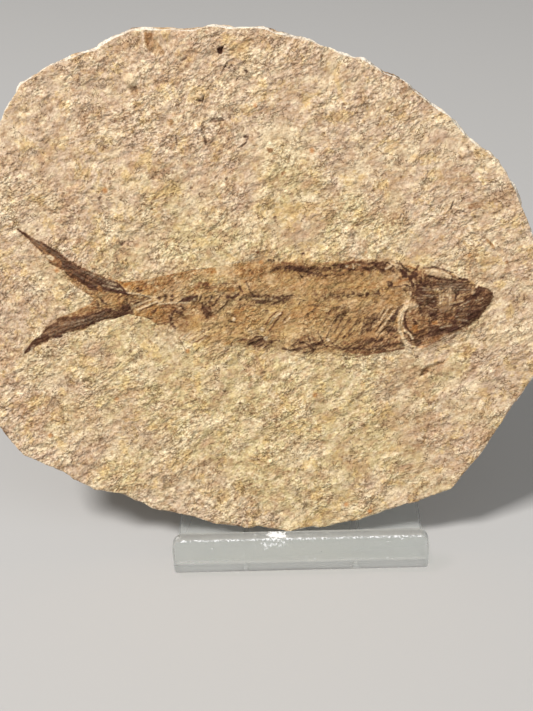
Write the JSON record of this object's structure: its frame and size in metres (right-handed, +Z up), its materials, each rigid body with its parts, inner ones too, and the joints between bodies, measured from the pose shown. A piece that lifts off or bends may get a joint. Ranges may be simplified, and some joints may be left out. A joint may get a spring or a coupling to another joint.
{
  "type": "fossil fish slab",
  "caption": "Fossil fish in low relief on a thin slab of buff limestone with chipped edges, leaning back on a bent clear acrylic display stand.",
  "frame": {"origin": "on the flat underside of the stand, in the middle of its width, below the line where the stone stands", "axes": "+Z up, +X to the right along the stand's lip, -Y towards the viewer, so the fish faces -Y and its head points to +X"},
  "size_m": [0.1468, 0.08, 0.1259],
  "materials": {
    "limestone": "rough buff limestone, split along its bedding, with paler chipped edges",
    "fossil_bone": "dark brown to ochre fossil bone and film, dull to slightly waxy",
    "clear_acrylic": "clear acrylic sheet with cut and lightly chipped edges"
  },
  "bodies": {
    "root": {"slab": "limestone", "fish": "fossil_bone", "stand": "clear_acrylic"}
  },
  "joints": []
}
